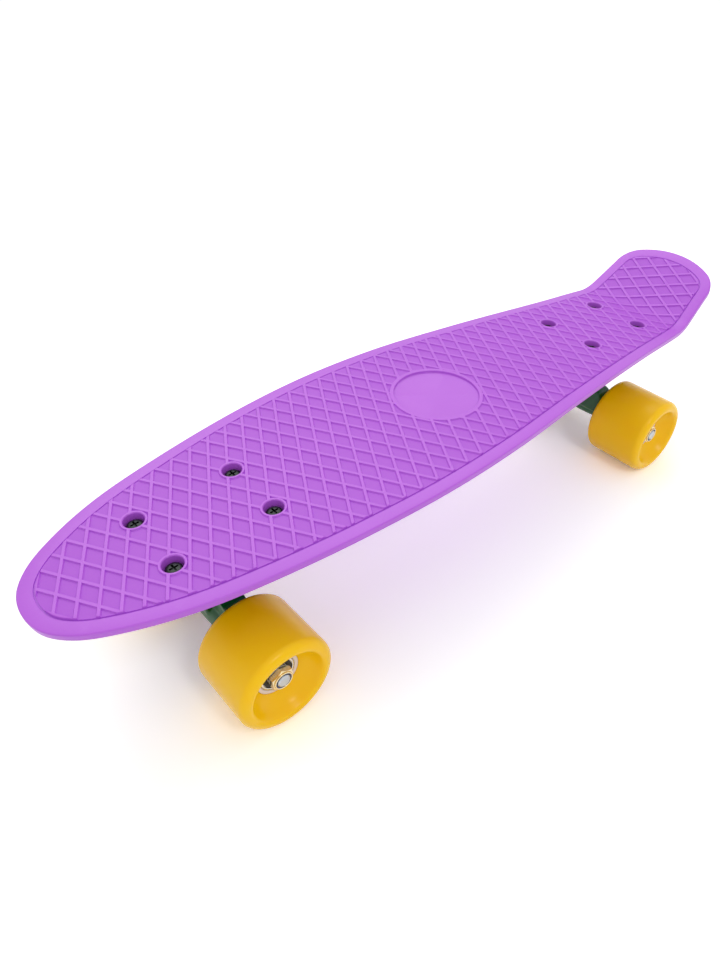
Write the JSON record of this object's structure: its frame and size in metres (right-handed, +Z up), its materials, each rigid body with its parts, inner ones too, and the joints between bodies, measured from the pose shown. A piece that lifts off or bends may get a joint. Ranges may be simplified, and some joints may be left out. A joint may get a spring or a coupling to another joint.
{
  "type": "cruiser skateboard",
  "caption": "Small moulded plastic cruiser board with a raised tail kick and diamond grip panel, on sprung steering trucks with free-rolling urethane wheels.",
  "frame": {"origin": "middle of the overall length and width, on the floor that the wheels stand on", "axes": "+X to the nose, +Y to the board's left side, +Z up"},
  "size_m": [0.5526, 0.1522, 0.1264],
  "materials": {
    "deck_plastic": "moulded, satin gloss",
    "polyurethane": "cast, smooth",
    "green_enamel": "dark green enamelled casting",
    "brass_zinc": "yellow zinc plated with a white nylon ring",
    "bearing_steel": "polished",
    "black_steel": "black oxide",
    "urethane_rubber": "cast",
    "zinc_steel": "zinc plated"
  },
  "bodies": {
    "deck": {"deck": "deck_plastic", "baseplate_front": "green_enamel", "pivot_cup_front": "urethane_rubber", "kingpin_front": "zinc_steel", "cup_washer_upper_front": "zinc_steel", "bushing_upper_front": "urethane_rubber", "bushing_lower_front": "urethane_rubber", "cup_washer_lower_front": "zinc_steel", "kingpin_nut_front": "zinc_steel", "deck_bolt_front_1": "black_steel", "deck_bolt_front_2": "black_steel", "deck_bolt_front_3": "black_steel", "deck_bolt_front_4": "black_steel", "deck_nut_front_1": "zinc_steel", "deck_nut_front_2": "zinc_steel", "deck_nut_front_3": "zinc_steel", "deck_nut_front_4": "zinc_steel", "baseplate_rear": "green_enamel", "pivot_cup_rear": "urethane_rubber", "kingpin_rear": "zinc_steel", "cup_washer_upper_rear": "zinc_steel", "bushing_upper_rear": "urethane_rubber", "bushing_lower_rear": "urethane_rubber", "cup_washer_lower_rear": "zinc_steel", "kingpin_nut_rear": "zinc_steel", "deck_bolt_rear_1": "black_steel", "deck_bolt_rear_2": "black_steel", "deck_bolt_rear_3": "black_steel", "deck_bolt_rear_4": "black_steel", "deck_nut_rear_1": "zinc_steel", "deck_nut_rear_2": "zinc_steel", "deck_nut_rear_3": "zinc_steel", "deck_nut_rear_4": "zinc_steel"},
    "hanger_front": {"hanger_front": "green_enamel", "axle_front": "zinc_steel", "speed_washer_front_left": "zinc_steel", "axle_nut_front_left": "brass_zinc", "speed_washer_front_right": "zinc_steel", "axle_nut_front_right": "brass_zinc"},
    "wheel_front_left": {"wheel_front_left": "polyurethane", "bearing_front_left_inner": "bearing_steel", "bearing_front_left_outer": "bearing_steel"},
    "wheel_front_right": {"wheel_front_right": "polyurethane", "bearing_front_right_inner": "bearing_steel", "bearing_front_right_outer": "bearing_steel"},
    "hanger_rear": {"hanger_rear": "green_enamel", "axle_rear": "zinc_steel", "speed_washer_rear_left": "zinc_steel", "axle_nut_rear_left": "brass_zinc", "speed_washer_rear_right": "zinc_steel", "axle_nut_rear_right": "brass_zinc"},
    "wheel_rear_left": {"wheel_rear_left": "polyurethane", "bearing_rear_left_inner": "bearing_steel", "bearing_rear_left_outer": "bearing_steel"},
    "wheel_rear_right": {"wheel_rear_right": "polyurethane", "bearing_rear_right_inner": "bearing_steel", "bearing_rear_right_outer": "bearing_steel"}
  },
  "joints": [
    {"name": "steer_front", "type": "hinge", "parent": "deck", "child": "hanger_front", "pos_m": [0.16018, 0, 0.05425], "axis": [0.917, 0, 0.3989], "range_deg": [-15, 15], "stiffness_Nm_per_rad": 30, "deforming": ["bushing_upper_front", "bushing_lower_front"]},
    {"name": "roll_front_left", "type": "hinge", "parent": "hanger_front", "child": "wheel_front_left", "pos_m": [0.18102, 0.0526, 0.0295], "axis": [0, 1, 0], "continuous": true},
    {"name": "roll_front_right", "type": "hinge", "parent": "hanger_front", "child": "wheel_front_right", "pos_m": [0.18102, -0.0526, 0.0295], "axis": [0, 1, 0], "continuous": true},
    {"name": "steer_rear", "type": "hinge", "parent": "deck", "child": "hanger_rear", "pos_m": [-0.14809, 0, 0.05425], "axis": [-0.917, 0, 0.3989], "range_deg": [-15, 15], "stiffness_Nm_per_rad": 30, "deforming": ["bushing_upper_rear", "bushing_lower_rear"]},
    {"name": "roll_rear_left", "type": "hinge", "parent": "hanger_rear", "child": "wheel_rear_left", "pos_m": [-0.16893, 0.0526, 0.0295], "axis": [0, 1, 0], "continuous": true},
    {"name": "roll_rear_right", "type": "hinge", "parent": "hanger_rear", "child": "wheel_rear_right", "pos_m": [-0.16893, -0.0526, 0.0295], "axis": [0, 1, 0], "continuous": true}
  ]
}
